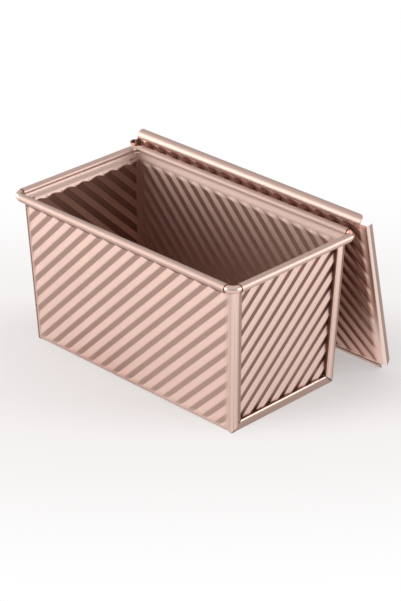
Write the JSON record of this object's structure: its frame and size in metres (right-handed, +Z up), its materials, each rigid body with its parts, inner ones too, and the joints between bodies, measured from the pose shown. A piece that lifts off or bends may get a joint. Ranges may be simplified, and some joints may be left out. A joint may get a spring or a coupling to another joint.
{
  "type": "lidded loaf pan",
  "caption": "Tapered rectangular loaf pan of diagonally corrugated sheet with lock-seamed ends and a wired rim, and a sliding corrugated lid that leans on its back rim.",
  "frame": {"origin": "middle of the pan's flat underside, on the surface it stands on", "axes": "+X along the pan's length, towards the end nearer to the camera's right; +Y across it, towards the leaning lid; +Z up"},
  "size_m": [0.2231, 0.1535, 0.1232],
  "materials": {
    "coated_sheet": "satin rose-gold non-stick coating on steel sheet",
    "coated_wire": "satin rose-gold non-stick coating on steel wire",
    "lid_sheet": "satin rose-gold non-stick coating on steel sheet"
  },
  "bodies": {
    "pan": {"pan_trough": "coated_sheet", "end_panel_right": "coated_sheet", "end_panel_left": "coated_sheet", "rim_wire": "coated_wire"},
    "lid": {"lid": "lid_sheet"}
  },
  "joints": [
    {"name": "lid_slide", "type": "slide", "parent": "pan", "child": "lid", "axis": [1, 0, 0], "range_m": [-0.204, 0]}
  ]
}
